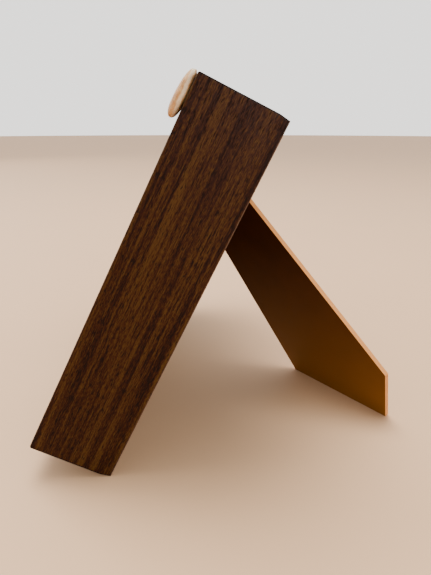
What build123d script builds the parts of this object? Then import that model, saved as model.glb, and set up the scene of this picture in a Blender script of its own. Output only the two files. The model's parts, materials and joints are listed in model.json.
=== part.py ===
from build123d import *
from math import atan, cos, degrees, pi, radians, sin
import os

# Digital photo frame: a deep mitred box frame, leaning back on a hardboard easel strut.
# Millimetres. The frame is drawn upright: X is its width, Y its depth with the back face
# at Y = 0 and the front face at Y = -FRAME_D, Z its height. PLACE then leans it back.

# --- driving dimensions -------------------------------------------------------------
FRAME_W = 240.0           # outer width
FRAME_H = 180.0           # outer height
FRAME_D = 40.0            # outer depth
LEAN = 26.2               # degrees back from vertical
WALL = 12.0               # rail wall
LIP = 20.0                # rail face width, seen from the front
LIP_T = 6.0               # thickness of the front lip
SEAT = 7.0                # outer face to the edge of the back panel's seat
BACK_BEVEL = 5.0          # length of the shallow bevel round the back edge
BACK_DROP = 0.6           # how far that bevel falls

PANEL_T = 3.0             # hardboard back panel
PANEL_GAP = 0.3
LEG_T = 2.5               # hardboard strut
HINGE_SKEW = 38.6         # hinge line against the horizontal, falling to the left
OPEN = 55.35              # opening angle of the strut
HINGE_X, HINGE_Z = 20.3, 143.1   # upper end of the hinge line
PIN_R = 1.0
PIN_FIT = 0.05            # radial clearance of the hinge pin
LEAF_T = 0.8              # hinge leaf sheet
BARREL_R = PIN_R + PIN_FIT + LEAF_T          # hinge knuckle; its axis is as high above the panel

GLASS_T = 2.0
MAT_T = 1.5
LCD_W, LCD_H, LCD_T = 183.0, 141.0, 6.0      # outline of the display module
VIEW_W, VIEW_H = 162.0, 121.5                # lit area
FIT = 0.05                # screws and rivets in their holes
SCREW_R = 1.25            # machine screws
WOOD_SCREW_R = 1.5
BAY_SCREW_R = 1.0

MID_Z = FRAME_H / 2
HALF_W = FRAME_W / 2

# --- depths, front to back ----------------------------------------------------------
Y_FRONT = -FRAME_D
Y_LIP = Y_FRONT + LIP_T
Y_GLASS = Y_LIP + GLASS_T
Y_MAT = Y_GLASS + MAT_T
Y_LCD = Y_MAT + 0.2                          # front of the display module
Y_LCD_BACK = Y_LCD + LCD_T
Y_CHASSIS = Y_LCD_BACK + 0.1
CHASSIS_T = 1.0
Y_CHASSIS_BACK = Y_CHASSIS + CHASSIS_T
Y_PANEL = -PANEL_T
Y_BOARD = -16.0
BOARD_T = 1.6
Y_BOARD_BACK = Y_BOARD + BOARD_T

# --- layout on the back, seen in the frame's own X and Z -----------------------------
BOARD_X = (-100.0, -24.0)
BOARD_Z = (64.0, 152.0)
BAY_X = (-96.0, -30.0)                       # inside of the port bay
BAY_Z = (20.0, 60.0)
BAY_DEPTH = 17.5
BAY_WALL = 1.5
BAY_FLANGE = 3.5
BAY_FLANGE_T = 1.2
BUTTON_X = -88.0
BUTTON_ZS = (88.0, 102.0, 116.0, 130.0)
BUTTON_NAMES = ("previous", "next", "select", "power")
BUTTON_TRAVEL = 0.5
LIGHT_Z = 142.0
DC_X, DC_RISE = -88.5, 6.5                   # supply inlet: place and height above the board
USB_X = -73.5
CARD_X = -48.0
SPEAKER_X, SPEAKER_Z, SPEAKER_R = 64.0, 134.0, 14.0
HANGERS = ((0.0, 158.0, 0.0), (-104.0, 90.0, 90.0))      # x, z, turn of the slot
CLIP_INSET = 4.2                             # pivots, in from the outer faces
CLIPS = (                                    # name, x, z, turn from pointing up
    ("top_right", 60.0, FRAME_H - CLIP_INSET, 180.0),
    ("top_left", -60.0, FRAME_H - CLIP_INSET, 180.0),
    ("left", -HALF_W + CLIP_INSET, 136.0, -90.0),
    ("bottom", -5.0, CLIP_INSET, 0.0),
)
BRACKET_X = 70.0
BRACKET_W, BRACKET_H, BRACKET_L, BRACKET_T = 16.0, 14.0, 12.0, 1.2


# --- placing ------------------------------------------------------------------------
def hinge_plane():
    """Origin on the pin's axis at its upper end, X down along the pin, Y up the leg, Z out."""
    along = Vector(-cos(radians(HINGE_SKEW)), 0, -sin(radians(HINGE_SKEW)))
    return Plane(origin=(HINGE_X, BARREL_R, HINGE_Z), x_dir=along, z_dir=(0, 1, 0))


HINGE = hinge_plane()
LEG_INNER = PIN_R + PIN_FIT - LEG_T          # leg's inner face, out from the pin axis
LEG_OUTER = PIN_R + PIN_FIT
LEANING = Rot(-LEAN, 0, 0)
OPENING = HINGE.location * Rot(-OPEN, 0, 0)
LOWEST = BACK_DROP * cos(radians(LEAN))      # the bevelled back edge, before it is set down


def leg_point(s, reach, out):
    """A point of the open leg, in the leaning frame: along the pin, down the leg, outward."""
    return (LEANING * OPENING * Pos(s, -reach, out)).position


def foot_reach(s):
    """Length down the leg at which its inner face meets the floor."""
    top = leg_point(s, 0, LEG_INNER).Z - LOWEST
    fall = leg_point(s, 0, LEG_INNER).Z - leg_point(s, 1, LEG_INNER).Z
    return top / fall


LEG_TOP = 3.0
LEG_OUTLINE = (                              # along the pin, down the leg
    (-1.5, LEG_TOP),
    (-15.2, 137.4),
    (7.5, foot_reach(7.5)),
    (66.8, foot_reach(66.8)),
    (51.7, LEG_TOP),
)
LEG_CORNERS = [leg_point(s, reach, out) for s, reach in LEG_OUTLINE for out in (LEG_INNER, LEG_OUTER)]
REAR_MOST = max(corner.Y for corner in LEG_CORNERS)
FRONT_MOST = Y_FRONT * cos(radians(LEAN))
PLACE = Pos(0, -(REAR_MOST + FRONT_MOST) / 2, -LOWEST) * LEANING


def save(name, *solids, place=None):
    """Write one node, leaned back and set on the floor."""
    where = place or PLACE
    placed = [where * solid for solid in solids]
    shape = placed[0] if len(placed) == 1 else Compound(children=placed)
    shape.label = name
    export_step(shape, f"parts/{name}.step")


# --- shapes used many times ---------------------------------------------------------
def block(xs, ys, zs):
    """A box between two limits on each axis."""
    size = [high - low for low, high in (xs, ys, zs)]
    middle = [(high + low) / 2 for low, high in (xs, ys, zs)]
    return Pos(*middle) * Box(*size)


def slab(width, height, ys, x=0.0, z=MID_Z):
    """A plate facing front and back, centred on x and z."""
    return block((x - width / 2, x + width / 2), ys, (z - height / 2, z + height / 2))


def disc(x, z, radius, ys):
    """A cylinder that runs front to back."""
    return Pos(x, (ys[0] + ys[1]) / 2, z) * Rot(90, 0, 0) * Cylinder(radius, ys[1] - ys[0])


def facing(x, y, z, direction):
    """A place whose own Z points along direction."""
    return Plane(origin=(x, y, z), z_dir=direction).location


def screw(radius, length, head_radius, head_height):
    """Pan-head screw with a cross recess: shank down from Z = 0, head above it."""
    shank = Pos(0, 0, -length / 2) * Cylinder(radius, length)
    head = Pos(0, 0, head_height / 2) * Cylinder(head_radius, head_height)
    head = fillet(head.edges().group_by(Axis.Z)[-1], head_height * 0.45)
    recess = Pos(0, 0, head_height) * (
        Box(head_radius * 1.1, head_radius * 0.28, head_height * 0.9)
        + Box(head_radius * 0.28, head_radius * 1.1, head_height * 0.9)
    )
    return shank + head - recess


def rivet(radius, grip, head_radius, head_height, tail_height):
    """Domed rivet through a stack of the given thickness, its top face at Z = 0."""
    shank = Pos(0, 0, -grip / 2) * Cylinder(radius, grip)
    head = Pos(0, 0, head_height / 2) * Cylinder(head_radius, head_height)
    head = fillet(head.edges().group_by(Axis.Z)[-1], head_height * 0.8)
    tail = Pos(0, 0, -grip - tail_height / 2) * Cylinder(head_radius * 0.85, tail_height)
    return shank + head + tail


BACKWARD = (0, 1, 0)
UP = (0, 0, 1)
DOWN = (0, 0, -1)


# --- box frame ----------------------------------------------------------------------
def bracket_spots():
    """Where a chassis bracket meets a rail: x, inner wall z, and the way into the frame."""
    walls = ((WALL, UP), (FRAME_H - WALL, DOWN))
    return [(x, z, inward) for x in (-BRACKET_X, BRACKET_X) for z, inward in walls]


def corner_nails():
    """V-nails driven across each mitre from the back, two to a corner."""
    nails = []
    arm, sheet, depth = 4.0, 0.5, 10.0
    for side in (-1, 1):
        for end in (-1, 1):
            for inset, top in ((3.6, -0.4), (9.6, Y_PANEL - 0.4)):
                x = side * (HALF_W - inset)
                z = MID_Z + end * (MID_Z - inset)
                strip = Pos(0, top - depth / 2, 0) * Box(arm, depth, sheet)
                vee = Pos(arm / 2 - sheet / 2, 0, 0) * strip
                vee += Rot(0, -90, 0) * Pos(arm / 2 - sheet / 2, 0, 0) * strip
                turn = {(-1, -1): 0, (-1, 1): 90, (1, 1): 180, (1, -1): 270}[(side, end)]
                nails.append(Pos(x, 0, z) * Rot(0, turn, 0) * vee)
    return nails


def moulding_ring():
    """The four rails before they are cut apart at the mitres."""
    body = slab(FRAME_W, FRAME_H, (Y_FRONT, -BACK_BEVEL))
    body = fillet(body.faces().sort_by(Axis.Y)[0].edges(), 0.9)
    rim = Plane(origin=(0, -BACK_BEVEL, MID_Z), x_dir=(-1, 0, 0), z_dir=BACKWARD)
    slope = degrees(atan(BACK_DROP / BACK_BEVEL))
    body += extrude(rim * Rectangle(FRAME_W, FRAME_H), BACK_BEVEL, taper=slope)
    body -= slab(FRAME_W - 2 * LIP, FRAME_H - 2 * LIP, (Y_FRONT - 1, Y_LIP + 1))
    body -= slab(FRAME_W - 2 * WALL, FRAME_H - 2 * WALL, (Y_LIP, 1))
    body -= slab(FRAME_W - 2 * SEAT, FRAME_H - 2 * SEAT, (Y_PANEL, 1))
    for _, x, z, _ in CLIPS:
        body -= disc(x, z, SCREW_R + FIT, (CLIP_LIFT + CLIP_T - CLIP_SCREW_L, 1))
    for x, z, inward in bracket_spots():
        mouth = facing(x, Y_CHASSIS_BACK + BRACKET_SCREW_RISE, z, inward)
        body -= mouth * Pos(0, 0, -4) * Cylinder(WOOD_SCREW_R + FIT, WOOD_SCREW_L)
    for nail in corner_nails():
        body -= nail
    return body


def mitre_wedge(corners):
    """A prism that cuts one rail out of the ring."""
    behind = Plane(origin=(0, 1, 0), x_dir=(1, 0, 0), z_dir=(0, -1, 0))
    return extrude(behind * make_face(Polyline(*corners, close=True)), FRAME_D + 2)


def box_frame():
    ring = moulding_ring()
    left, right, base, top = -HALF_W, HALF_W, 0.0, FRAME_H
    inner_left, inner_right = left + MID_Z, right - MID_Z
    wedges = {
        "rail_bottom": ((left, base), (right, base), (inner_right, MID_Z), (inner_left, MID_Z)),
        "rail_top": ((left, top), (right, top), (inner_right, MID_Z), (inner_left, MID_Z)),
        "rail_left": ((left, base), (inner_left, MID_Z), (left, top)),
        "rail_right": ((right, base), (inner_right, MID_Z), (right, top)),
    }
    for name, corners in wedges.items():
        save(name, ring & mitre_wedge(corners))
    save("corner_v_nails", *corner_nails())


def front_pieces():
    inner_w, inner_h = FRAME_W - 2 * WALL - 1, FRAME_H - 2 * WALL - 1
    pane = slab(inner_w, inner_h, (Y_LIP, Y_GLASS))
    save("glazing_pane", chamfer(pane.edges().filter_by(Axis.Y), 0.5))
    mat = slab(inner_w, inner_h, (Y_GLASS, Y_MAT))
    mat -= bevelled_window()
    save("mat_board", mat)
    save("pebble_ornament", pebble())


def bevelled_window():
    """The mat's window, its edge cut at 45 degrees and widest at the glass."""
    rim = Plane(origin=(0, Y_MAT, MID_Z), x_dir=(1, 0, 0), z_dir=(0, -1, 0))
    return extrude(rim * Rectangle(VIEW_W + 1, VIEW_H + 1), MAT_T, taper=-45)


PEBBLE_L, PEBBLE_W, PEBBLE_T = 21.4, 17.0, 5.8
PEBBLE_DROP, PEBBLE_INSET = 9.7, 10.0        # centre: below the top edge, in from the side
PEBBLE_TILT = 4.0                            # its lower end stands off
PEBBLE_SUNK = 0.5                            # how much of its back is ground flat


def pebble():
    """A flat pebble glued on the top right corner of the face."""
    body = scale(Sphere(1), (PEBBLE_W / 2, PEBBLE_T / 2, PEBBLE_L / 2))
    seat = PEBBLE_T / 2 - PEBBLE_SUNK
    place = Pos(HALF_W - PEBBLE_INSET, Y_FRONT - seat, FRAME_H - PEBBLE_DROP)
    body = place * Rot(-PEBBLE_TILT, 0, 0) * body
    return body - slab(FRAME_W, 2 * FRAME_H, (Y_FRONT, 0))


# --- display module -----------------------------------------------------------------
def display_module():
    sheet = 0.5
    bezel = slab(LCD_W, LCD_H, (Y_LCD, Y_LCD + 4.5))
    bezel -= slab(LCD_W - 2 * sheet, LCD_H - 2 * sheet, (Y_LCD + sheet, Y_LCD + 5))
    bezel -= slab(VIEW_W + 2, VIEW_H + 2, (Y_LCD - 1, Y_LCD + 1))
    save("lcd_front_bezel", bezel)

    stack = (                                # name, margin to the module outline, thickness
        ("lcd_glass_cell", 3.5, 1.4),
        ("optical_films", 5.5, 0.6),
        ("light_guide", 6.5, 2.2),
        ("reflector_sheet", 6.5, 0.3),
    )
    front = Y_LCD + sheet
    strip = 1.6
    for name, margin, thickness in stack:
        height = LCD_H - 2 * margin
        layer = (front, front + thickness)
        if name == "light_guide":
            low = MID_Z - height / 2
            save("backlight_led_strip", *led_strip(low, strip, layer))
            save(name, slab(LCD_W - 2 * margin, height - strip, layer, z=MID_Z + strip / 2))
        else:
            save(name, slab(LCD_W - 2 * margin, height, layer))
        front += thickness

    tray = slab(LCD_W - 2 * sheet, LCD_H - 2 * sheet, (Y_LCD + sheet + 1.4, Y_LCD_BACK))
    tray -= slab(LCD_W - 11, LCD_H - 11, (Y_LCD, front))
    save("lcd_rear_tray", tray)


def led_strip(low, strip, layer):
    """A narrow flex along the light guide's lower edge, with its row of diodes."""
    width = LCD_W - 14
    flex = block((-width / 2, width / 2), layer, (low, low + 0.5))
    pitch = 9.0
    count = int(width / pitch)
    start = -pitch * (count - 1) / 2
    diodes = [
        block((x - 1.9, x + 1.9), (layer[0] + 0.3, layer[1] - 0.3), (low + 0.5, low + strip))
        for x in (start + pitch * i for i in range(count))
    ]
    return [flex, *diodes]


RIBBON_X = (-62.0, -32.0)


def ribbon_cable():
    """Flat cable from the module's top edge, over the chassis plate, to the main board."""
    thickness, bend = 0.3, 1.8
    front, back = Y_LCD_BACK - 1.2, Y_BOARD_BACK + 1.0
    bottom, crest = MID_Z + LCD_H / 2 + 0.1, FRAME_H - WALL - 0.8
    route = FilletPolyline(
        (front, bottom), (front, crest), (back, crest), (back, BOARD_Z[1] - 1.0), radius=bend
    )
    side = Plane(origin=(RIBBON_X[0], 0, 0), x_dir=(0, 1, 0), z_dir=(1, 0, 0))
    return extrude(side * trace(route, thickness), RIBBON_X[1] - RIBBON_X[0])


# --- carrier ------------------------------------------------------------------------
STANDOFFS = [(x, z) for x in (BOARD_X[0] + 4, BOARD_X[1] - 4) for z in (BOARD_Z[0] + 5, BOARD_Z[1] - 5)]
BRACKET_HOLE = 7.0                           # bracket screw, in from the rail's wall
BRACKET_SCREW_RISE = 9.0                     # wood screw, above the chassis plate
WOOD_SCREW_L = 9.0


def carrier():
    plate = slab(208, FRAME_H - 2 * WALL - 4, (Y_CHASSIS, Y_CHASSIS_BACK))
    plate = fillet(plate.edges().filter_by(Axis.Y), 3)
    plate -= slab(60, 60, (Y_CHASSIS - 1, Y_CHASSIS_BACK + 1), x=50)
    plate -= slab(40, 20, (Y_CHASSIS - 1, Y_CHASSIS_BACK + 1), x=-60, z=40)
    for x, z, inward in bracket_spots():
        plate -= disc(x, z + inward[2] * BRACKET_HOLE, SCREW_R + FIT, (Y_CHASSIS - 1, Y_CHASSIS_BACK + 1))
    save("chassis_plate", plate)

    brackets, wood_screws, plate_screws = [], [], []
    for x, z, inward in bracket_spots():
        up = inward[2]
        foot = block(
            (x - BRACKET_W / 2, x + BRACKET_W / 2),
            (Y_CHASSIS_BACK, Y_CHASSIS_BACK + BRACKET_T),
            sorted((z, z + up * BRACKET_L)),
        )
        wall = block(
            (x - BRACKET_W / 2, x + BRACKET_W / 2),
            (Y_CHASSIS_BACK, Y_CHASSIS_BACK + BRACKET_H),
            sorted((z, z + up * BRACKET_T)),
        )
        angle = foot + wall
        screw_z = z + up * BRACKET_HOLE
        angle -= disc(x, screw_z, SCREW_R + FIT, (Y_CHASSIS_BACK - 1, Y_CHASSIS_BACK + 3))
        into_rail = facing(x, Y_CHASSIS_BACK + BRACKET_SCREW_RISE, z + up * BRACKET_T, inward)
        angle -= into_rail * Cylinder(WOOD_SCREW_R + FIT, 6)
        brackets.append(angle)
        wood_screws.append(into_rail * screw(WOOD_SCREW_R, WOOD_SCREW_L, 2.8, 1.8))
        top = facing(x, Y_CHASSIS_BACK + BRACKET_T, screw_z, BACKWARD)
        plate_screws.append(top * screw(SCREW_R, BRACKET_T + CHASSIS_T, 2.3, 1.6))
    save("chassis_brackets", *brackets)
    save("bracket_wood_screws", *wood_screws)
    save("bracket_screws", *plate_screws)


# --- electronics --------------------------------------------------------------------
def on_board(xs, zs, height, lift=0.0):
    """A block standing on the back of the main board."""
    return block(xs, (Y_BOARD_BACK + lift, Y_BOARD_BACK + lift + height), zs)


def main_board():
    board = block(BOARD_X, (Y_BOARD, Y_BOARD_BACK), BOARD_Z)
    for x, z in STANDOFFS:
        board -= disc(x, z, SCREW_R + FIT, (Y_BOARD - 1, Y_BOARD_BACK + 1))
    save("main_board", board)

    posts, screws = [], []
    for x, z in STANDOFFS:
        hexagon = extrude(RegularPolygon(2.8, 6), Y_BOARD - Y_CHASSIS_BACK)
        post = facing(x, Y_CHASSIS_BACK, z, BACKWARD) * hexagon
        post -= disc(x, z, SCREW_R + FIT, (Y_BOARD - 5, Y_BOARD + 1))
        posts.append(post)
        screws.append(facing(x, Y_BOARD_BACK, z, BACKWARD) * screw(SCREW_R, BOARD_T + 4, 2.3, 1.6))
    save("board_standoffs", *posts)
    save("board_screws", *screws)


def chips():
    body = chamfer(on_board((-73, -59), (101, 115), 1.4, lift=0.1).edges().filter_by(Axis.Y), 0.6)
    pins = [
        on_board((x - 0.15, x + 0.15), zs, 0.7)
        for x in (-71.5 + 1.0 * i for i in range(12)) for zs in ((99.6, 101), (115, 116.4))
    ]
    save("processor_chip", body, *pins)

    packages = []
    for x, z in ((-48, 108), (-48, 92)):
        packages.append(on_board((x - 5, x + 5), (z - 4, z + 4), 1.1, lift=0.1))
        for i in range(6):
            pin_z = z - 3.2 + 1.28 * i
            packages.append(on_board((x - 6.2, x - 5), (pin_z - 0.2, pin_z + 0.2), 0.6))
            packages.append(on_board((x + 5, x + 6.2), (pin_z - 0.2, pin_z + 0.2), 0.6))
    save("memory_chips", *packages)

    cans = []
    for x in (-70, -62):
        can = disc(x, 91, 3.15, (Y_BOARD_BACK, Y_BOARD_BACK + 7.5))
        cans.append(fillet(can.edges().group_by(Axis.Y)[-1], 0.5))
    save("filter_capacitors", *cans)


def clock_cell():
    x, z, radius = -48.0, 128.0, 10.0
    holder = disc(x, z, radius + 1.6, (Y_BOARD_BACK, Y_BOARD_BACK + 4.2))
    holder -= disc(x, z, radius + 0.15, (Y_BOARD_BACK + 0.8, Y_BOARD_BACK + 5))
    holder -= on_board((x - 4, x + 4), (z + radius - 2, z + radius + 3), 5, lift=0.8)
    save("coin_cell_holder", holder)
    cell = disc(x, z, radius, (Y_BOARD_BACK + 0.8, Y_BOARD_BACK + 4.0))
    save("coin_cell", fillet(cell.edges().group_by(Axis.Y)[-1], 0.5))


PORT_FACE_Z = BAY_Z[1] + 0.4                 # the sockets' mouths, inside the bay's wall
SOCKET_L = 14.0                              # supply and USB sockets, back from the mouth
DC_W, DC_H = 9.0, 11.0
DC_BORE_R, DC_PIN_R = 2.9, 0.8
USB_W, USB_H = 14.4, 6.8
CARD_W, CARD_H, CARD_L = 28.0, 3.2, 24.0


def middle_span(x, width):
    return x - width / 2, x + width / 2


def sockets():
    z_low = PORT_FACE_Z
    axis = facing(DC_X, Y_BOARD_BACK + DC_RISE, z_low, UP)
    jack = on_board(middle_span(DC_X, DC_W), (z_low, z_low + SOCKET_L), DC_H)
    jack -= axis * Pos(0, 0, 5) * Cylinder(DC_BORE_R, 10.2)
    jack += axis * Pos(0, 0, 6) * Cylinder(DC_PIN_R, 9.2)
    save("dc_jack", jack)

    shell = on_board(middle_span(USB_X, USB_W), (z_low, z_low + SOCKET_L), USB_H)
    shell -= on_board(middle_span(USB_X, USB_W - 1.4), (z_low - 1, z_low + 12), USB_H - 1.6, lift=0.8)
    shell += on_board(middle_span(USB_X, USB_W - 3.2), (z_low + 1.5, z_low + 12.5), 1.8, lift=3.4)
    save("usb_socket", shell)

    card = on_board(middle_span(CARD_X, CARD_W), (z_low, z_low + CARD_L), CARD_H)
    card -= on_board(middle_span(CARD_X, CARD_W - 3.2), (z_low - 1, z_low + 22), CARD_H - 0.9, lift=0.4)
    save("card_socket", card)


# --- buttons ------------------------------------------------------------------------
SWITCH_H = 3.6
PLUNGER_R = 1.7
PLUNGER_TOP = Y_BOARD_BACK + 7.0
BEZEL_T = 0.8
CAP_R = 4.0
CAP_TOP = BEZEL_T + 1.0
BUTTON_GAP = 0.15                            # radial clearance round caps and plungers
PIPE_R = 1.25


def buttons():
    switches = []
    for name, z in zip(BUTTON_NAMES, BUTTON_ZS):
        body = on_board((BUTTON_X - 3, BUTTON_X + 3), (z - 3, z + 3), SWITCH_H)
        well = Y_BOARD_BACK + 1.6
        body -= disc(BUTTON_X, z, PLUNGER_R + BUTTON_GAP, (well, Y_BOARD_BACK + 5))
        switches.append(body)
        plunger = disc(BUTTON_X, z, PLUNGER_R, (well + BUTTON_TRAVEL + 0.2, PLUNGER_TOP))
        save(f"plunger_{name}", plunger)
        cap = disc(BUTTON_X, z, CAP_R, (-1.0, CAP_TOP))
        cap = fillet(cap.edges().group_by(Axis.Y)[-1], 0.6)
        cap += disc(BUTTON_X, z, CAP_R + 0.7, (-1.2, -0.1))
        cap += disc(BUTTON_X, z, 1.5, (PLUNGER_TOP, -1.0))
        save(f"button_{name}", cap)
    save("switch_bodies", *switches)

    low, high = BUTTON_ZS[0] - 8, LIGHT_Z + 6
    bezel = block((BUTTON_X - 7, BUTTON_X + 7), (0, BEZEL_T), (low, high))
    bezel = fillet(bezel.edges().filter_by(Axis.Y), 4)
    for z in BUTTON_ZS:
        bezel -= disc(BUTTON_X, z, CAP_R + BUTTON_GAP, (-1, 2))
    bezel -= disc(BUTTON_X, LIGHT_Z, PIPE_R + FIT, (-1, 2))
    save("button_bezel", bezel)

    pipe = disc(BUTTON_X, LIGHT_Z, PIPE_R, (Y_BOARD_BACK + 1.2, BEZEL_T + 0.3))
    pipe += disc(BUTTON_X, LIGHT_Z, 2.2, (Y_BOARD_BACK + 1.2, Y_BOARD_BACK + 2.4))
    save("status_light_pipe", pipe)


# --- back ---------------------------------------------------------------------------
def slot_shape(x, z, turn, length, radius, ys):
    """A round-ended slot that runs up from x, z, turned about the frame's depth."""
    depth = ys[1] - ys[0]
    here = Pos(x, (ys[0] + ys[1]) / 2, z) * Rot(0, -turn, 0)
    body = Pos(0, 0, length / 2) * Box(2 * radius, depth, length)
    ends = [Pos(0, 0, end) * Rot(90, 0, 0) * Cylinder(radius, depth) for end in (0, length)]
    return here * (body + ends[0] + ends[1])


HANGER_L, HANGER_W, HANGER_T = 36.0, 13.0, 0.8
HANGER_HOLE_R, HANGER_SLOT_R, HANGER_SLOT_L = 4.2, 2.1, 5.0
RIVET_R, RIVET_HEAD_R, RIVET_HEAD_H = 1.2, 2.3, 0.8
HANGER_RIVET = 14.5                          # rivets either side of the keyhole
HINGE_RIVETS = ((9.0, 9.0), (25.75, 9.0), (42.5, 9.0))       # along the pin, up from it


def hinge_rivet_spots():
    """Rivets of the fixed leaf, in the frame's X and Z."""
    return [((HINGE.location * Pos(s, up, 0)).position) for s, up in HINGE_RIVETS]


def hanger_rivet_spots():
    spots = []
    for x, z, turn in HANGERS:
        for side in (-HANGER_RIVET, HANGER_RIVET):
            spots.append((Pos(x, 0, z) * Rot(0, -turn, 0) * Pos(side, 0, 0)).position)
    return spots


def back_panel():
    margin = 2 * (SEAT + PANEL_GAP)
    panel = slab(FRAME_W - margin, FRAME_H - margin, (Y_PANEL, 0))
    through = (Y_PANEL - 1, 1)
    bay_gap = BAY_WALL + 0.3
    bay = [(low - bay_gap, high + bay_gap) for low, high in (BAY_X, BAY_Z)]
    panel -= block(bay[0], through, bay[1])
    panel -= slot_shape(BUTTON_X, BUTTON_ZS[0], 0, BUTTON_ZS[-1] - BUTTON_ZS[0], 5.3, through)
    panel -= disc(BUTTON_X, LIGHT_Z, 1.6, through)
    for x, z, turn in HANGERS:
        panel -= slot_shape(x, z, turn, HANGER_SLOT_L, 4.8, through)
    for spot in hinge_rivet_spots() + hanger_rivet_spots():
        panel -= disc(spot.X, spot.Z, RIVET_R + FIT, through)
    panel -= speaker_holes(through)
    for x, z in bay_screw_spots():
        panel -= disc(x, z, BAY_SCREW_R + FIT, through)
    save("back_panel", panel)


SOUND_HOLE_R = 0.9


def speaker_holes(through):
    """Sound holes: one in the middle, rings of eight and sixteen about it."""
    holes = disc(SPEAKER_X, SPEAKER_Z, SOUND_HOLE_R, through)
    for ring, count in ((4.2, 8), (8.4, 16)):
        for i in range(count):
            turn = 2 * pi * i / count
            x, z = SPEAKER_X + ring * cos(turn), SPEAKER_Z + ring * sin(turn)
            holes += disc(x, z, SOUND_HOLE_R, through)
    return holes


def bay_screw_spots():
    z = (BAY_Z[0] + BAY_Z[1]) / 2
    inset = BAY_WALL + 2.0
    return [(BAY_X[0] - inset - 1.2, z), (BAY_X[1] + inset + 1.2, z)]


def port_bay():
    """Moulded well in the panel: the sockets open through its upper wall."""
    xs = (BAY_X[0] - BAY_WALL, BAY_X[1] + BAY_WALL)
    zs = (BAY_Z[0] - BAY_WALL, BAY_Z[1] + BAY_WALL)
    well = block(xs, (-BAY_DEPTH - BAY_WALL, 0), zs)
    flange = block(
        (xs[0] - BAY_FLANGE - 1.5, xs[1] + BAY_FLANGE + 1.5), (0, BAY_FLANGE_T),
        (zs[0] - BAY_FLANGE, zs[1] + BAY_FLANGE),
    )
    flange = fillet(flange.edges().filter_by(Axis.Y), 3)
    bay = well + flange
    bay -= block(BAY_X, (-BAY_DEPTH, 2), BAY_Z)
    wall = (BAY_Z[1] - 1, BAY_Z[1] + BAY_WALL + 1)
    gap = 0.3
    for x, width, height in ((DC_X, DC_W, DC_H), (USB_X, USB_W, USB_H), (CARD_X, CARD_W, CARD_H)):
        span = middle_span(x, width + 2 * gap)
        bay -= block(span, (Y_BOARD - gap, Y_BOARD_BACK + height + gap), wall)
    for x, z in bay_screw_spots():
        bay -= disc(x, z, BAY_SCREW_R + FIT, (-1, 2))
    save("port_bay", bay)
    tops = [facing(x, BAY_FLANGE_T, z, BACKWARD) for x, z in bay_screw_spots()]
    screws = [top * screw(BAY_SCREW_R, BAY_FLANGE_T + PANEL_T - 0.3, 1.8, 1.0) for top in tops]
    save("port_bay_screws", *screws)


def speaker():
    ring = disc(SPEAKER_X, SPEAKER_Z, SPEAKER_R, (-5.0, Y_PANEL))
    ring -= disc(SPEAKER_X, SPEAKER_Z, SPEAKER_R - 3, (-4.2, Y_PANEL + 1))
    magnet = disc(SPEAKER_X, SPEAKER_Z, 7.0, (-9.0, -5.0))
    cone = disc(SPEAKER_X, SPEAKER_Z, SPEAKER_R - 3.5, (-4.2, -3.8))
    save("speaker", ring + magnet + cone)


def hangers():
    plates = []
    for x, z, turn in HANGERS:
        here = Pos(x, 0, z) * Rot(0, -turn, 0)
        plate = block((-HANGER_L / 2, HANGER_L / 2), (0, HANGER_T), (-HANGER_W / 2, HANGER_W / 2 + 2))
        plate = here * fillet(plate.edges().filter_by(Axis.Y), 4)
        plate -= slot_shape(x, z, turn, HANGER_SLOT_L, HANGER_SLOT_R, (-1, 2))
        plate -= disc(x, z, HANGER_HOLE_R, (-1, 2))
        plates.append(plate)
    for spot in hanger_rivet_spots():
        plates = [plate - disc(spot.X, spot.Z, RIVET_R + FIT, (-1, 2)) for plate in plates]
    save("hanger_plates", *plates)

    rivets = []
    for spots, sheet in ((hanger_rivet_spots(), HANGER_T), (hinge_rivet_spots(), LEAF_T)):
        for spot in spots:
            top = facing(spot.X, sheet, spot.Z, BACKWARD)
            rivets.append(top * rivet(RIVET_R, PANEL_T + sheet, RIVET_HEAD_R, RIVET_HEAD_H, 0.8))
    save("panel_rivets", *rivets)


CLIP_L, CLIP_W, CLIP_T = 15.0, 5.8, 1.0
CLIP_LIFT = 0.1                              # gap under the clips
CLIP_SCREW_L = 10.0


def turn_clips():
    screws = []
    for name, x, z, turn in CLIPS:
        body = slot_shape(x, z, turn, CLIP_L, CLIP_W / 2, (CLIP_LIFT, CLIP_LIFT + CLIP_T))
        edges = body.faces().sort_by(Axis.Y)[-1].edges()
        body = chamfer(edges, 0.25)
        body -= disc(x, z, SCREW_R + 2 * FIT, (-1, 3))
        save(f"turn_clip_{name}", body)
        top = facing(x, CLIP_LIFT + FIT + CLIP_T, z, BACKWARD)
        screws.append(top * screw(SCREW_R, CLIP_SCREW_L, 2.4, 1.5))
    save("turn_clip_screws", *screws)


# --- easel --------------------------------------------------------------------------
KNUCKLES = 5
KNUCKLE_L = 7.0
KNUCKLE_GAP = 0.3
HINGE_START = 7.6                            # first knuckle, along the pin
LEAF_UP = 14.0
LEAF_DOWN = 18.0
STOP_REACH = 4.6
LEG_RIVETS = ((12.0, 9.0), (25.75, 13.0), (39.5, 9.0))       # along the pin, down the leg


def knuckle_span(i):
    start = HINGE_START + i * (KNUCKLE_L + KNUCKLE_GAP)
    return start, start + KNUCKLE_L


HINGE_END = knuckle_span(KNUCKLES - 1)[1]


def barrel(span, radius):
    """A round bar on the pin's axis."""
    return Pos((span[0] + span[1]) / 2, 0, 0) * Rot(0, 90, 0) * Cylinder(radius, span[1] - span[0])


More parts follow.
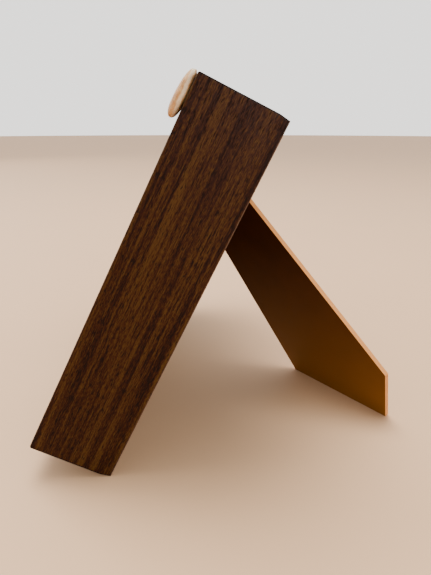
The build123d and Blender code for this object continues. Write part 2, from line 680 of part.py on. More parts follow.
def fixed_leaf():
    """Leaf riveted to the back panel, above the hinge line."""
    bottom = -BARREL_R
    leaf = block((HINGE_START, HINGE_END), (2.4, LEAF_UP), (bottom, bottom + LEAF_T))
    for i in range(0, KNUCKLES, 2):
        span = knuckle_span(i)
        leaf += block(span, (0, 2.5), (bottom, bottom + LEAF_T))
        leaf += barrel(span, BARREL_R)
    leaf -= barrel((0, 60), PIN_R + PIN_FIT)
    for s, up in HINGE_RIVETS:
        leaf -= Pos(s, up, 0) * Cylinder(RIVET_R + FIT, 10)
    return leaf


def moving_leaf():
    """Leaf riveted to the leg's outer face, with the lugs that stop it when open."""
    leaf = block((HINGE_START, HINGE_END), (-LEAF_DOWN, -2.4), (LEG_OUTER, LEG_OUTER + LEAF_T))
    bottom = -BARREL_R + LEAF_T
    for i in range(1, KNUCKLES, 2):
        span = knuckle_span(i)
        leaf += block(span, (-2.5, 0), (LEG_OUTER, LEG_OUTER + LEAF_T))
        leaf += barrel(span, BARREL_R)
        lug = block(span, (1.3, STOP_REACH), (bottom + 0.02, bottom + 0.02 + LEAF_T))
        leaf += Rot(OPEN, 0, 0) * lug
    leaf -= barrel((0, 60), PIN_R + PIN_FIT)
    for s, down in LEG_RIVETS:
        leaf -= Pos(s, -down, 0) * Cylinder(RIVET_R + FIT, 10)
    return leaf


def strut_leg():
    outline = [(s, -reach) for s, reach in LEG_OUTLINE]
    plate = Pos(0, 0, LEG_INNER) * extrude(make_face(Polyline(*outline, close=True)), LEG_T)
    plate = fillet(plate.edges().filter_by(Axis.Z).group_by(Axis.Y)[-1], 2.0)
    for s, down in LEG_RIVETS:
        plate -= Pos(s, -down, 0) * Cylinder(RIVET_R + FIT, 10)
    return plate


def easel():
    open_place = PLACE * OPENING
    save("hinge_leaf_panel", fixed_leaf(), place=PLACE * HINGE.location)
    save("hinge_leaf_strut", moving_leaf(), place=open_place)
    save("hinge_pin", barrel((HINGE_START - 0.6, HINGE_END + 0.6), PIN_R), place=PLACE * HINGE.location)
    save("strut_leg", strut_leg(), place=open_place)
    rivets = [
        Pos(s, -down, LEG_OUTER + LEAF_T) * rivet(RIVET_R, LEG_T + LEAF_T, RIVET_HEAD_R, RIVET_HEAD_H, 0.25)
        for s, down in LEG_RIVETS
    ]
    save("strut_rivets", *rivets, place=open_place)


os.makedirs("parts", exist_ok=True)
box_frame()
front_pieces()
display_module()
save("display_ribbon_cable", ribbon_cable())
carrier()
main_board()
chips()
clock_cell()
sockets()
buttons()
back_panel()
port_bay()
speaker()
hangers()
turn_clips()
easel()
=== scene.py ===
import json
from math import atan2, cos, pi, radians, sin

import bmesh
import bpy
from mathutils import Matrix, Vector, noise


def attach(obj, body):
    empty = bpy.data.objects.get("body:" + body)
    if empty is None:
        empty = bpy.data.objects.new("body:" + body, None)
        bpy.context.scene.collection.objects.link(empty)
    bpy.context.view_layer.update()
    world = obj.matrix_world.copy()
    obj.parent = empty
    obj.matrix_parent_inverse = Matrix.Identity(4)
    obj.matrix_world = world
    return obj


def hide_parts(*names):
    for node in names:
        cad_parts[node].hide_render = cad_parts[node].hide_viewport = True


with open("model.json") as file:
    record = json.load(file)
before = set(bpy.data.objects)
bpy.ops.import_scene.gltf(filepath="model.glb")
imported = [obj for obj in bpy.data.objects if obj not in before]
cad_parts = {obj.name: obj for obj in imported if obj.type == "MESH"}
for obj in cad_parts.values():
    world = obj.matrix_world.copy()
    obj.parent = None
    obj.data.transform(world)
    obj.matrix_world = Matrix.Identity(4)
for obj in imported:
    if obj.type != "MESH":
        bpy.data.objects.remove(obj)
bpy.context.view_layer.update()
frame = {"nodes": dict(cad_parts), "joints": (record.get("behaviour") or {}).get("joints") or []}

# --- the frame's own axes -----------------------------------------------------------
# Upright millimetres: X across, Y to the back (the back face is Y = 0, the front -DEPTH),
# Z up the frame. LOCAL leans them back into the row frame, in metres.
MM = 0.001
WIDTH, HEIGHT, DEPTH = 240.0, 180.0, 40.0
SCREEN_W, SCREEN_H = 162.0, 121.5
MID_Z = HEIGHT / 2

JOINTS = {joint["name"]: joint for joint in frame["joints"]}
ACROSS = Vector((1, 0, 0))
BACK = Vector(JOINTS["clip_bottom_turn"]["axis"])
UPWARD = ACROSS.cross(BACK)
LEAN = atan2(-BACK.z, BACK.y)
CLIP_AT = Vector((-5.0, 0.6, 4.2))           # the bottom clip's pivot, in upright millimetres
ORIGIN = Vector(JOINTS["clip_bottom_turn"]["pos_m"]) - MM * (
    CLIP_AT.x * ACROSS + CLIP_AT.y * BACK + CLIP_AT.z * UPWARD
)
LOCAL = Matrix.Translation(ORIGIN) @ Matrix.Rotation(-LEAN, 4, "X") @ Matrix.Scale(MM, 4)

HINGE_AXIS = Vector(JOINTS["strut_hinge"]["axis"])
OPEN_ANGLE = radians(JOINTS["strut_hinge"]["range_deg"][1])
LEG_NORMAL = Matrix.Rotation(-OPEN_ANGLE, 3, HINGE_AXIS) @ BACK

# Base colours: the walnut from its darkest band to its lightest, and the hardboard's
# two face shades with the painted golden floor-bounce light at the strut's foot, and its sawn
# edges.
WALNUT_TONES = (
    (0.28, (0.0090, 0.0013, 0.0004)), (0.44, (0.0210, 0.0038, 0.0008)),
    (0.57, (0.0370, 0.0112, 0.0016)), (0.76, (0.0600, 0.0262, 0.0043)),
)
WALNUT_PORE = (0.0045, 0.0010, 0.0005)
FACE_TONES = ((0.031, 0.0078, 0.0011), (0.056, 0.0152, 0.0020), (0.240, 0.0980, 0.0100))
EDGE_TONES = ((0.50, 0.20, 0.055), (0.78, 0.36, 0.120))


# --- materials: a short way to write node trees --------------------------------------
class Surface:
    """One procedural material and its node tree."""

    def __init__(self, name, **fixed):
        self.material = bpy.data.materials.new(name)
        self.material.use_nodes = True
        self.tree = self.material.node_tree
        self.shader = self.tree.nodes["Principled BSDF"]
        for socket, value in fixed.items():
            self.set(socket.replace("_", " "), value)

    def set(self, socket, value):
        """Sets or links a socket of the shader, named in any case."""
        found = next(s for s in self.shader.inputs if s.name.lower() == socket.lower())
        self.feed(found, value)

    def feed(self, socket, value):
        if isinstance(value, bpy.types.NodeSocket):
            self.tree.links.new(value, socket)
        else:
            socket.default_value = value

    def node(self, kind, *inputs, **settings):
        made = self.tree.nodes.new(kind)
        for key, value in settings.items():
            setattr(made, key, value)
        for socket, value in zip(made.inputs, inputs):
            if value is not None:
                self.feed(socket, value)
        return made

    def math(self, operation, *values, clamp=False):
        return self.node("ShaderNodeMath", *values, operation=operation, use_clamp=clamp).outputs[0]

    def vector(self, operation, *values):
        return self.node("ShaderNodeVectorMath", *values, operation=operation).outputs[0]

    def upright(self):
        """The point in upright millimetres; it moves with the piece."""
        point = self.node("ShaderNodeTexCoord").outputs["Object"]
        point = self.vector("SUBTRACT", point, ORIGIN)
        turned = self.node("ShaderNodeVectorRotate", point, rotation_type="X_AXIS")
        turned.inputs["Angle"].default_value = LEAN
        return self.vector("MULTIPLY", turned.outputs[0], (1 / MM,) * 3)

    def split(self, point):
        return self.node("ShaderNodeSeparateXYZ", point).outputs

    def stretched(self, point, scales):
        return self.vector("MULTIPLY", point, scales)

    def noise(self, point, scale=1.0, detail=3.0, roughness=0.55, distortion=0.0):
        made = self.node("ShaderNodeTexNoise", point)
        made.inputs["Scale"].default_value = scale
        made.inputs["Detail"].default_value = detail
        made.inputs["Roughness"].default_value = roughness
        made.inputs["Distortion"].default_value = distortion
        return made.outputs["Fac"]

    def cells(self, point, scale):
        """Distance to the nearest of many scattered points."""
        made = self.node("ShaderNodeTexVoronoi", point)
        made.inputs["Scale"].default_value = scale
        return made.outputs["Distance"]

    def step(self, value, low, high, smooth=True):
        """0 below low, 1 above high; the limits may be the other way round."""
        curve = "SMOOTHSTEP" if smooth else "LINEAR"
        made = self.node("ShaderNodeMapRange", value, interpolation_type=curve)
        if low < high:
            limits = (low, high, 0.0, 1.0)
        else:
            limits = (high, low, 1.0, 0.0)
        for socket, limit in zip(made.inputs[1:5], limits):
            socket.default_value = limit
        return made.outputs[0]

    def ramp(self, value, *stops):
        """Colours at places from 0 to 1."""
        made = self.node("ShaderNodeValToRGB", value)
        elements = made.color_ramp.elements
        while len(elements) < len(stops):
            elements.new(0.5)
        for element, (place, colour) in zip(elements, stops):
            element.position = place
            element.color = (*colour, 1)
        return made.outputs["Color"]

    def mix(self, factor, first, second):
        made = self.node("ShaderNodeMix", data_type="RGBA")
        self.feed(made.inputs["Factor"], factor)
        for key, value in (("A", first), ("B", second)):
            socket = next(s for s in made.inputs if s.name == key and s.type == "RGBA")
            self.feed(socket, (*value, 1) if isinstance(value, tuple) else value)
        return next(s for s in made.outputs if s.type == "RGBA")

    def span(self, value, low, high):
        """A 0 to 1 value spread between two others."""
        return self.math("MULTIPLY_ADD", value, high - low, low)

    def bump(self, height, depth_mm):
        """Bump whose full height is so many millimetres."""
        made = self.node("ShaderNodeBump")
        made.inputs["Strength"].default_value = 1.0
        made.inputs["Distance"].default_value = depth_mm * MM
        self.feed(made.inputs["Height"], height)
        self.set("Normal", made.outputs["Normal"])

    def facing(self, direction):
        """1 where the piece's own surface faces along direction, either way."""
        normal = self.node("ShaderNodeTexCoord").outputs["Normal"]
        dot = self.node("ShaderNodeVectorMath", normal, direction, operation="DOT_PRODUCT")
        return self.math("ABSOLUTE", dot.outputs["Value"])


def walnut_foil(name, grain):
    """Printed walnut foil over MDF: bands, streaks, pores and dark seams at the mitres."""
    s = Surface(name, specular_ior_level=0.10)
    point = s.upright()
    x, y, z = s.split(point)

    def fibre(across, along):
        """The point scaled for grain of so many cycles a millimetre each way."""
        if grain == "X":
            return s.stretched(point, (along, across, across))
        return s.stretched(point, (across, across, along))

    bands = s.noise(fibre(0.085, 0.0035), 1, 2, 0.5, 0.7)
    streaks = s.noise(fibre(0.46, 0.0075), 1, 4, 0.6, 0.5)
    threads = s.noise(fibre(1.3, 0.085), 1, 3, 0.65)
    flecks = s.noise(fibre(2.2, 0.50), 1, 2, 0.6)
    mottle = s.noise(point, 1.3, 4, 0.7)

    tone = s.math("MULTIPLY_ADD", bands, 0.65, s.math("MULTIPLY", streaks, 1.15))
    tone = s.math("ADD", tone, s.math("MULTIPLY_ADD", threads, 0.75, -0.77))
    tone = s.math("ADD", tone, s.math("MULTIPLY_ADD", flecks, 0.95, -0.475), clamp=True)
    colour = s.ramp(tone, *WALNUT_TONES)
    dark_streak = s.step(streaks, 0.52, 0.40)
    open_pore = s.math("MULTIPLY_ADD", dark_streak, -0.09, 0.60)
    pores = s.noise(fibre(1.7, 0.30), 1, 2, 0.45)
    depth = s.math("DIVIDE", s.math("SUBTRACT", pores, open_pore), 0.07, clamp=True)
    colour = s.mix(s.math("MULTIPLY", depth, 0.85), colour, WALNUT_PORE)

    inset = s.math("SUBTRACT", WIDTH / 2, s.math("ABSOLUTE", x))
    rise = s.math("SUBTRACT", MID_Z, s.math("ABSOLUTE", s.math("SUBTRACT", z, MID_Z)))
    from_mitre = s.math("ABSOLUTE", s.math("SUBTRACT", inset, rise))
    seam = s.step(from_mitre, 0.75, 0.30)
    colour = s.mix(s.math("MULTIPLY", seam, 0.85), colour, WALNUT_PORE)

    crumbs = s.noise(point, 2.6, 4, 0.8)     # the bare board at the back, past the foil
    board = s.ramp(crumbs, (0.3, (0.085, 0.045, 0.028)), (0.7, (0.17, 0.105, 0.07)))
    raw_edge = s.step(s.math("MULTIPLY_ADD", mottle, 0.5, y), -0.30, 0.10)
    colour = s.mix(s.math("MULTIPLY", raw_edge, 0.7), colour, board)

    s.set("Base Color", colour)
    dull = s.math("MULTIPLY_ADD", depth, 0.2, 0.36)
    s.set("Roughness", s.math("MULTIPLY_ADD", threads, 0.14, dull))
    grooves = s.math("MULTIPLY", s.math("ADD", depth, seam), -0.8)
    s.bump(s.math("MULTIPLY_ADD", threads, 0.4, grooves), 0.07)
    return s.material


def hardboard(name, normal, face_tones, edge_tones, painted_bounce_warmth=0.0):
    """Smooth-faced hardboard with raw, fibrous sawn edges.

    normal is the way its outer face looks. painted_bounce_warmth is how strongly painted warm
    floor-bounce light tints the other face where it nears the floor.
    """
    s = Surface(name, specular_ior_level=0.12)
    point = s.upright()
    flecks = s.noise(point, 1.9, 5, 0.75)
    cloud = s.noise(point, 0.045, 3, 0.6)
    tone = s.math("MULTIPLY_ADD", flecks, 0.45, s.math("MULTIPLY", cloud, 0.55))
    face = s.ramp(tone, (0.36, face_tones[0]), (0.66, face_tones[1]))
    # painted light: warm floor bounce, golden on the face toward the frame and strongest near the
    # floor
    if painted_bounce_warmth:
        coordinates = s.node("ShaderNodeTexCoord").outputs
        height = s.split(coordinates["Object"])[2]
        low = s.math("POWER", s.step(height, 0.10, 0.0, smooth=False), 1.6)
        toward_frame = s.node(
            "ShaderNodeVectorMath", coordinates["Normal"], -normal, operation="DOT_PRODUCT"
        )
        inner = s.span(s.step(toward_frame.outputs["Value"], 0.0, 0.5), 0.2, painted_bounce_warmth)
        face = s.mix(s.math("MULTIPLY", low, inner), face, face_tones[2])
    specks = s.step(s.cells(point, 1.25), 0.09, 0.05)
    face = s.mix(s.math("MULTIPLY", specks, 0.35), face, (0.022, 0.010, 0.004))

    layers = s.noise(point, 2.6, 5, 0.8)
    edge = s.ramp(layers, (0.3, edge_tones[0]), (0.7, edge_tones[1]))
    is_face = s.step(s.facing(normal), 0.80, 0.93)
    s.set("Base Color", s.mix(is_face, edge, face))
    rough = s.math("MULTIPLY_ADD", flecks, 0.12, 0.74)
    s.set("Roughness", s.math("MULTIPLY_ADD", is_face, -0.30, rough))
    rough_edge = s.math("MULTIPLY", s.math("SUBTRACT", 1.0, is_face), layers)
    s.bump(s.math("MULTIPLY_ADD", flecks, 0.10, rough_edge), 0.22)
    return s.material


def sheet_metal(name, colour, dull, roughness=0.32, brushed=(1, 1, 0.06)):
    """Plated or stamped metal with brushing, faint stains and scratches."""
    s = Surface(name, metallic=1.0)
    point = s.upright()
    brushing = s.noise(s.stretched(point, brushed), 6.0, 3, 0.6)
    stains = s.noise(point, 0.22, 4, 0.6)
    scratches = s.step(s.noise(s.stretched(point, (0.35, 3.0, 1.0)), 2.6, 2, 0.5, 1.5), 0.68, 0.72)
    s.set("Base Color", s.mix(s.step(stains, 0.45, 0.75), colour, dull))
    stained = s.math("MULTIPLY_ADD", stains, 0.16, roughness - 0.15)
    rough = s.math("MULTIPLY_ADD", brushing, 0.18, stained)
    s.set("Roughness", s.math("ADD", rough, s.math("MULTIPLY", scratches, 0.12)))
    s.bump(s.math("SUBTRACT", brushing, s.math("MULTIPLY", scratches, 0.6)), 0.012)
    return s.material


def moulded(name, colour, roughness=0.5, grain_mm=0.35, depth_mm=0.02, **fixed):
    """Moulded plastic with a spark-eroded grain, and shade that varies a little."""
    s = Surface(name, **fixed)
    point = s.upright()
    grain = s.noise(point, 1 / grain_mm, 4, 0.7)
    drift = s.noise(point, 0.08, 2, 0.5)
    darker = tuple(channel * 0.82 for channel in colour)
    lighter = tuple(min(1.0, channel * 1.16 + 0.004) for channel in colour)
    shade = s.math("MULTIPLY_ADD", grain, 0.45, s.math("MULTIPLY", drift, 0.55))
    s.set("Base Color", s.mix(shade, darker, lighter))
    s.set("Roughness", s.math("MULTIPLY_ADD", grain, 0.2, roughness - 0.1))
    s.bump(grain, depth_mm)
    return s.material


def float_glass():
    """Clear glass, very slightly green."""
    s = Surface("float_glass", transmission_weight=1.0, ior=1.47, roughness=0.0)
    point = s.upright()
    haze = s.noise(point, 0.03, 4, 0.65)
    s.set("Base Color", s.mix(haze, (0.93, 0.97, 0.95), (0.99, 1.0, 0.995)))
    return s.material


def mat_card():
    """Off-white mat board; its bevelled window edge shows the white core."""
    s = Surface("mat_card", specular_ior_level=0.25)
    point = s.upright()
    x, _, z = s.split(point)
    fibres = s.noise(s.stretched(point, (1, 1, 0.6)), 3.2, 5, 0.75)
    paper = s.ramp(fibres, (0.3, (0.69, 0.655, 0.585)), (0.7, (0.80, 0.77, 0.70)))
    across = s.math("SUBTRACT", s.math("ABSOLUTE", x), SCREEN_W / 2 + 2.1)
    up = s.math("SUBTRACT", s.math("ABSOLUTE", s.math("SUBTRACT", z, MID_Z)), SCREEN_H / 2 + 2.1)
    outside = s.math("MAXIMUM", across, up)
    s.set("Base Color", s.mix(s.step(outside, -0.1, 0.1), (0.90, 0.89, 0.86), paper))
    s.set("Roughness", s.math("MULTIPLY_ADD", fibres, 0.15, 0.78))
    s.bump(fibres, 0.05)
    return s.material


def lit_screen():
    """The display: a plain landscape of hills, a lake and an evening sky."""
    s = Surface("lit_screen", roughness=0.6, specular_ior_level=0.0)
    x, _, z = s.split(s.upright())
    u = s.math("MULTIPLY_ADD", x, 1 / SCREEN_W, 0.5)
    v = s.math("MULTIPLY_ADD", s.math("SUBTRACT", z, MID_Z), 1 / SCREEN_H, 0.5)
    flat = s.node("ShaderNodeCombineXYZ", u, v, 0.0).outputs[0]

    sky = s.ramp(
        v, (0.34, (0.80, 0.36, 0.10)), (0.50, (0.62, 0.26, 0.13)),
        (0.70, (0.13, 0.18, 0.36)), (1.0, (0.020, 0.065, 0.22)),
    )
    cloud_place = s.vector("MULTIPLY", flat, (3.0, 15.0, 1.0))
    clouds = s.step(s.noise(cloud_place, 1.0, 5, 0.6, 0.4), 0.52, 0.72)
    sky = s.mix(s.math("MULTIPLY", clouds, 0.55), sky, (0.80, 0.46, 0.32))
    sun_x = s.math("MULTIPLY", s.math("SUBTRACT", u, 0.66), SCREEN_W / SCREEN_H)
    beside_sun = s.math("ABSOLUTE", sun_x)
    above_sun = s.math("ABSOLUTE", s.math("SUBTRACT", v, 0.47))
    squares = s.math("ADD", s.math("POWER", beside_sun, 2.0), s.math("POWER", above_sun, 2.0))
    sun_distance = s.math("SQRT", squares)
    sky = s.mix(s.step(sun_distance, 0.26, 0.0), sky, (1.0, 0.66, 0.25))
    sky = s.mix(s.step(sun_distance, 0.050, 0.040), sky, (1.0, 0.95, 0.80))

    ridges = (                               # base height, swing, waviness, colour
        (0.47, 0.20, 2.3, (0.100, 0.095, 0.17)),
        (0.39, 0.17, 3.4, (0.040, 0.055, 0.085)),
        (0.30, 0.11, 5.2, (0.012, 0.024, 0.026)),
    )
    picture = sky
    for i, (base, swing, waves, colour) in enumerate(ridges):
        place = s.node("ShaderNodeCombineXYZ", u, 7.0 * i + 3.0, 0.0).outputs[0]
        crest = s.math("MULTIPLY_ADD", s.noise(place, waves, 5, 0.5), swing, base - swing / 2)
        covered = s.step(s.math("SUBTRACT", crest, v), -0.002, 0.002)
        picture = s.mix(covered, picture, colour)

    ripple_place = s.vector("MULTIPLY", flat, (9.0, 90.0, 1.0))
    ripples = s.noise(ripple_place, 1.0, 3, 0.6, 0.3)
    lake = s.mix(ripples, (0.030, 0.040, 0.075), (0.34, 0.17, 0.11))
    glint = s.math("MULTIPLY", s.step(beside_sun, 0.11, 0.0), s.step(ripples, 0.45, 0.6))
    lake = s.mix(glint, lake, (1.0, 0.62, 0.24))
    picture = s.mix(s.step(v, 0.262, 0.256), picture, lake)

    s.set("Base Color", s.mix(0.9, picture, (0.01, 0.01, 0.012)))
    s.set("Emission Color", picture)
    s.set("Emission Strength", 1.0)
    return s.material


def pale_pebble():
    """Smooth beach pebble: peach skin and pits, with painted light: a highlight band along the
    glued side, shade where it meets the face and towards its lower end.
    """
    s = Surface(
        "pale_pebble", specular_ior_level=0.3, subsurface_weight=0.10, subsurface_scale=0.002
    )
    point = s.upright()
    _, y, z = s.split(point)
    cloud = s.noise(point, 0.28, 4, 0.6, 0.5)
    skin = s.ramp(
        cloud, (0.30, (0.37, 0.170, 0.052)), (0.52, (0.50, 0.275, 0.110)),
        (0.72, (0.62, 0.385, 0.19)),
    )
    proud = s.math("SUBTRACT", -DEPTH, y)    # how far out from the face
    ragged = s.noise(point, 0.35, 2, 0.5)
    # painted highlight: a paler grey band along the rounded side, a little out from the face
    waver = s.math("MULTIPLY_ADD", ragged, 1.6, s.math("SUBTRACT", proud, 0.8))
    band = s.math("MULTIPLY", s.step(waver, 3.0, 2.3), s.step(waver, 0.9, 1.6))
    skin = s.mix(s.math("MULTIPLY", band, 0.7), skin, (0.70, 0.60, 0.44))
    # painted shade: darker where the pebble's back curves in to meet the frame's face
    painted_contact_shade = s.step(waver, 1.3, 0.5)
    skin = s.mix(s.math("MULTIPLY", painted_contact_shade, 0.7), skin, (0.30, 0.15, 0.06))
    # painted shade: darker and more orange towards the pebble's lower end
    low = s.step(z, HEIGHT - 12, HEIGHT - 20)
    skin = s.mix(s.math("MULTIPLY", low, 0.45), skin, (0.46, 0.22, 0.075))
    pits = s.step(s.cells(point, 1.1), 0.16, 0.08)
    skin = s.mix(s.math("MULTIPLY", pits, 0.25), skin, (0.34, 0.20, 0.11))
    s.set("Base Color", skin)
    s.set("Roughness", s.math("MULTIPLY_ADD", cloud, 0.2, 0.48))
    s.bump(s.math("MULTIPLY_ADD", pits, -0.5, s.noise(point, 1.4, 4, 0.6)), 0.08)
    return s.material


def circuit_board():
    """Green solder mask over copper tracks."""
    s = Surface("circuit_board", specular_ior_level=0.5)
    point = s.upright()
    tracks = s.node("ShaderNodeTexBrick", point)
    tracks.inputs["Scale"].default_value = 0.35
    tracks.inputs["Mortar Size"].default_value = 0.012
    weave = s.noise(point, 2.0, 2, 0.5)
    mask = s.mix(weave, (0.006, 0.060, 0.024), (0.010, 0.105, 0.042))
    s.set("Base Color", s.mix(tracks.outputs["Fac"], mask, (0.03, 0.19, 0.06)))
    s.set("Roughness", s.math("MULTIPLY_ADD", weave, 0.1, 0.28))
    s.bump(tracks.outputs["Fac"], 0.03)
    return s.material


def pale_floor():
    """Plain warm floor, barely clouded."""
    s = Surface("pale_floor", specular_ior_level=0.3)
    point = s.node("ShaderNodeTexCoord").outputs["Object"]
    cloud = s.noise(point, 9.0, 4, 0.6)
    s.set("Base Color", s.mix(cloud, (0.62, 0.385, 0.22), (0.66, 0.415, 0.24)))
    s.set("Roughness", s.math("MULTIPLY_ADD", cloud, 0.1, 0.6))
    return s.material


# --- finishes of the CAD pieces ------------------------------------------------------
CLIP_NAMES = ("top_right", "top_left", "left", "bottom")
KEY_NAMES = ("previous", "next", "select", "power")
FINISHES = {
    "foil_upright": (walnut_foil("walnut_foil_upright", "Z"), ["rail_left", "rail_right"]),
    "foil_level": (walnut_foil("walnut_foil_level", "X"), ["rail_top", "rail_bottom"]),
    "leg_board": (
        hardboard("hardboard_leg", LEG_NORMAL, FACE_TONES, EDGE_TONES, 0.9), ["strut_leg"],
    ),
    "panel_board": (hardboard("hardboard_panel", BACK, FACE_TONES, EDGE_TONES), ["back_panel"]),
    "zinc": (
        sheet_metal("zinc_plate", (0.40, 0.40, 0.39), (0.29, 0.285, 0.27), 0.36),
        ["corner_v_nails", "chassis_plate", "chassis_brackets", "hanger_plates", "lcd_front_bezel",
         "usb_socket", "card_socket"] + [f"turn_clip_{name}" for name in CLIP_NAMES],
    ),
    "screw_steel": (
        sheet_metal("screw_steel", (0.36, 0.35, 0.34), (0.24, 0.23, 0.215), 0.30, (1, 1, 1)),
        ["bracket_wood_screws", "bracket_screws", "board_screws", "port_bay_screws",
         "turn_clip_screws"],
    ),
    "brass": (
        sheet_metal("brass_plate", (0.50, 0.315, 0.095), (0.34, 0.21, 0.075), 0.34),
        ["hinge_leaf_panel", "hinge_leaf_strut", "hinge_pin", "strut_rivets", "panel_rivets",
         "board_standoffs"],
    ),
    "coin": (
        sheet_metal("coin_steel", (0.70, 0.70, 0.68), (0.58, 0.58, 0.56), 0.22), ["coin_cell"],
    ),
    "cans": (
        sheet_metal("can_aluminium", (0.72, 0.72, 0.73), (0.6, 0.6, 0.61), 0.30),
        ["filter_capacitors"],
    ),
    "pane": (float_glass(), ["glazing_pane"]),
    "mat": (mat_card(), ["mat_board"]),
    "screen": (lit_screen(), ["lcd_glass_cell"]),
    "films": (
        moulded("diffuser_film", (0.84, 0.84, 0.83), 0.6), ["optical_films", "reflector_sheet"],
    ),
    "led": (moulded("led_strip_white", (0.80, 0.79, 0.70), 0.5), ["backlight_led_strip"]),
    "acrylic": (
        moulded("clear_acrylic", (0.86, 0.93, 0.93), 0.16, transmission_weight=0.9),
        ["light_guide", "status_light_pipe"],
    ),
    "black": (
        moulded("black_plastic", (0.017, 0.017, 0.018), 0.52),
        ["lcd_rear_tray", "port_bay", "dc_jack", "coin_cell_holder", "speaker", "switch_bodies",
         "button_bezel"],
    ),
    "keys": (
        moulded("key_plastic", (0.050, 0.050, 0.053), 0.40, 0.5, 0.012),
        [f"{part}_{name}" for part in ("button", "plunger") for name in KEY_NAMES],
    ),
    "ribbon": (
        moulded("amber_ribbon", (0.60, 0.26, 0.035), 0.35, 1.0, 0.01), ["display_ribbon_cable"],
    ),
    "board": (circuit_board(), ["main_board"]),
    "chips": (
        moulded("chip_compound", (0.020, 0.020, 0.022), 0.55, 0.2),
        ["processor_chip", "memory_chips"],
    ),
}


def dress_cad_nodes():
    for material, nodes in FINISHES.values():
        for node in nodes:
            mesh = frame["nodes"][node].data
            mesh.materials.clear()
            mesh.materials.append(material)


# --- meshes -------------------------------------------------------------------------
def piece(name, mesh, material, body, slot, *replaced):
    """Adds a finished mesh, made in the row frame, rides it on its body and hides the parts it
    replaces.
    """
    mesh.materials.append(material)
    made = bpy.data.objects.new(name, mesh)
    bpy.context.collection.objects.link(made)
    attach(made, body)
    if replaced:
        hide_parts(*replaced)
    return made


def finished(bm, name, smooth=True):
    mesh = bpy.data.meshes.new(name)
    bmesh.ops.recalc_face_normals(bm, faces=bm.faces)
    bm.to_mesh(mesh)
    bm.free()
    for polygon in mesh.polygons:
        polygon.use_smooth = smooth
    return mesh


PEBBLE_HALF = Vector((8.5, 2.9, 10.7))       # half its width, thickness and length
PEBBLE_INSET, PEBBLE_DROP = 10.0, 9.7        # its middle, in from the side and down from the top
PEBBLE_SUNK = 0.5                            # ground off its back
PEBBLE_TILT = radians(-4.0)
PEBBLE_ROUNDNESS = 2.5                       # 2 is an ellipsoid, more is squarer
PEBBLE_SLIMMER = 0.13                        # how much smaller its top end gets
GLUE_GAP = 0.01


def pebble_mesh():
    """A flat water-worn pebble, thinner at its top; its back is ground flat to the face."""
    centre = Vector((
        WIDTH / 2 - PEBBLE_INSET, -DEPTH - PEBBLE_HALF.y + PEBBLE_SUNK, HEIGHT - PEBBLE_DROP,
    ))
    tilt = Matrix.Rotation(PEBBLE_TILT, 3, "X")
    lump_place = Vector((3.1, 0.4, 7.7))
    bm = bmesh.new()
    bmesh.ops.create_icosphere(bm, subdivisions=6, radius=1.0)
    for vert in bm.verts:
        unit = vert.co.copy()
        lumps = 0.97 + 0.035 * noise.noise(unit * 1.4 + lump_place)
        lumps += 0.010 * noise.noise(unit * 4.2)
        powers = sum(abs(part) ** PEBBLE_ROUNDNESS for part in unit)
        round_off = powers ** (-1 / PEBBLE_ROUNDNESS)
        slim = 1 - PEBBLE_SLIMMER * max(0.0, unit.z)
        spot = Vector((
            unit.x * PEBBLE_HALF.x * slim, unit.y * PEBBLE_HALF.y * slim, unit.z * PEBBLE_HALF.z,
        ))
        spot = centre + tilt @ (spot * lumps * round_off)
        spot.y = min(spot.y, -DEPTH - GLUE_GAP)
        vert.co = LOCAL @ spot
    return finished(bm, "pebble_mesh")


def raised(outline, base, rise, bevel):
    """A closed outline in upright X and Z, pulled out backwards with a softened top."""
    bm = bmesh.new()
    verts = [bm.verts.new((x, base, z)) for x, z in outline]
    face = bm.faces.new(verts)
    made = bmesh.ops.extrude_face_region(bm, geom=[face])
    tops = [v for v in made["geom"] if isinstance(v, bmesh.types.BMVert)]
    bmesh.ops.translate(bm, verts=tops, vec=(0, rise, 0))
    edges = [e for e in bm.edges if all(v in tops for v in e.verts)]
    bmesh.ops.bevel(bm, geom=edges, offset=bevel, segments=2, affect="EDGES")
    bmesh.ops.transform(bm, matrix=LOCAL, verts=bm.verts)
    return bm


KEY_X = -88.0
KEY_Z = {"previous": 88.0, "next": 102.0, "select": 116.0, "power": 130.0}
KEY_TOP = 1.78                               # the caps' faces, out from the back
SYMBOL_RISE, SYMBOL_BEVEL = 0.10, 0.03
ARROW_REACH = 1.7
DOT_RADIUS, DOT_SIDES = 1.1, 32


def arrow_outline(x, z, way):
    """A triangle whose tip points to +X where way is 1, and to -X where it is -1."""
    tip, tail = x + way * ARROW_REACH, x - way * ARROW_REACH * 0.7
    return [(tip, z), (tail, z + ARROW_REACH), (tail, z - ARROW_REACH)]


def dot_outline(x, z):
    turns = [2 * pi * i / DOT_SIDES for i in range(DOT_SIDES)]
    return [(x + DOT_RADIUS * cos(a), z + DOT_RADIUS * sin(a)) for a in turns]


def ring_outline(x, z, outer, inner, start, end, count=40):
    """An arc-shaped band, from start to end in radians."""
    steps = [start + (end - start) * i / count for i in range(count + 1)]
    outside = [(x + outer * cos(a), z + outer * sin(a)) for a in steps]
    inside = [(x + inner * cos(a), z + inner * sin(a)) for a in reversed(steps)]
    return outside + inside


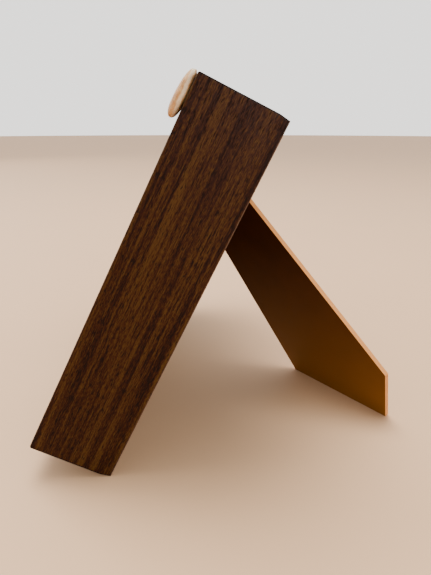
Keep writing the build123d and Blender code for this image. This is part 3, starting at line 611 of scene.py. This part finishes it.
def key_symbols(ink):
    """Generic arrow, dot and power marks moulded proud on the four keys."""
    power = KEY_Z["power"]
    outlines = {
        "previous": [arrow_outline(KEY_X, KEY_Z["previous"], 1)],
        "next": [arrow_outline(KEY_X, KEY_Z["next"], -1)],
        "select": [dot_outline(KEY_X, KEY_Z["select"])],
        "power": [
            ring_outline(KEY_X, power, 1.75, 1.35, radians(125), radians(415)),
            [(KEY_X - 0.2, power + 0.3), (KEY_X + 0.2, power + 0.3),
             (KEY_X + 0.2, power + 2.0), (KEY_X - 0.2, power + 2.0)],
        ],
    }
    for name, shapes in outlines.items():
        joined = bmesh.new()
        for shape in shapes:
            part = raised(shape, KEY_TOP, SYMBOL_RISE, SYMBOL_BEVEL)
            scratch = bpy.data.meshes.new("scratch")
            part.to_mesh(scratch)
            part.free()
            joined.from_mesh(scratch)
            bpy.data.meshes.remove(scratch)
        mesh = finished(joined, f"symbol_{name}_mesh", smooth=False)
        piece(f"symbol_{name}", mesh, ink, f"key_{name}", "white_film")


# --- stage --------------------------------------------------------------------------
FLOOR_RADIUS = 6.0
SKY_TINT = (1.0, 0.975, 0.94, 1)
SKY_LEFT, SKY_RIGHT = (-0.6, 1.9), (0.9, 0.50)     # where along X, and how bright there
MIDDLE = (0, 0, 0.09)                              # of the object, which the lights aim at
LIGHTS = (                                         # name, place, aim, width, height, power, colour
    ("overhead", (-0.2, -0.2, 1.5), MIDDLE, 0.8, 0.8, 32, (1.0, 0.98, 0.95)),
    ("low_side", (1.2, 0.42, 0.38), (0.08, 0.04, 0.10), 0.7, 0.4, 9, (1.0, 0.95, 0.88)),
    ("front_fill", (-1.6, -1.1, 0.9), MIDDLE, 1.2, 1.0, 9, (0.97, 0.98, 1.0)),
)


def stage():
    """The floor, and a plain sky that is brighter on the side away from the camera."""
    material = pale_floor()
    bm = bmesh.new()
    bmesh.ops.create_circle(bm, cap_ends=True, segments=96, radius=FLOOR_RADIUS)
    floor = bpy.data.objects.new("floor", finished(bm, "floor_mesh", smooth=False))
    floor.data.materials.append(material)
    bpy.context.collection.objects.link(floor)

    world = bpy.data.worlds.new("studio")
    world.use_nodes = True
    nodes, links = world.node_tree.nodes, world.node_tree.links
    background = nodes["Background"]
    background.inputs["Color"].default_value = SKY_TINT
    direction = nodes.new("ShaderNodeTexCoord")
    across = nodes.new("ShaderNodeSeparateXYZ")
    fade = nodes.new("ShaderNodeMapRange")
    fade.inputs["From Min"].default_value, fade.inputs["To Min"].default_value = SKY_LEFT
    fade.inputs["From Max"].default_value, fade.inputs["To Max"].default_value = SKY_RIGHT
    links.new(direction.outputs["Generated"], across.inputs[0])
    links.new(across.outputs["X"], fade.inputs["Value"])
    links.new(fade.outputs[0], background.inputs["Strength"])
    bpy.context.scene.world = world


def soft_light(name, place, aim, width, height, power, colour):
    data = bpy.data.lights.new(name, "AREA")
    data.shape = "RECTANGLE"
    data.size, data.size_y = width, height
    data.energy = power
    data.color = colour
    made = bpy.data.objects.new(name, data)
    made.location = place
    made.rotation_mode = "QUATERNION"
    made.rotation_quaternion = (Vector(aim) - Vector(place)).to_track_quat("-Z", "Y")
    bpy.context.collection.objects.link(made)


# --- camera -------------------------------------------------------------------------
CAMERA_OUT = 215.0        # from the near side face, millimetres
CAMERA_BACK = 41.1        # behind the edge that the frame stands on
CAMERA_UP = 160.8
CAMERA_YAW = radians(2.36)
CAMERA_PITCH = radians(17.44)
VIEW_LENGTH = 532.2       # focal length, where the picture's long side is VIEW_LONG_SIDE
VIEW_LONG_SIDE = 575.0
SENSOR = 36.0


def camera():
    data = bpy.data.cameras.new("camera")
    data.sensor_width = SENSOR
    data.lens = SENSOR * VIEW_LENGTH / VIEW_LONG_SIDE
    data.clip_start, data.clip_end = 0.01, 60.0
    made = bpy.data.objects.new("camera", data)
    side = WIDTH / 2 + CAMERA_OUT
    made.location = (side * MM, ORIGIN.y + CAMERA_BACK * MM, CAMERA_UP * MM)
    level = cos(CAMERA_PITCH)
    ahead = Vector((-cos(CAMERA_YAW) * level, sin(CAMERA_YAW) * level, -sin(CAMERA_PITCH)))
    made.rotation_mode = "QUATERNION"
    made.rotation_quaternion = ahead.to_track_quat("-Z", "Y")
    bpy.context.collection.objects.link(made)
    bpy.context.scene.camera = made


camera()
stage()
for light in LIGHTS:
    soft_light(*light)
dress_cad_nodes()
piece("pebble", pebble_mesh(), pale_pebble(), "frame", "pebble", "pebble_ornament")
key_symbols(moulded("white_ink", (0.78, 0.78, 0.76), 0.5))
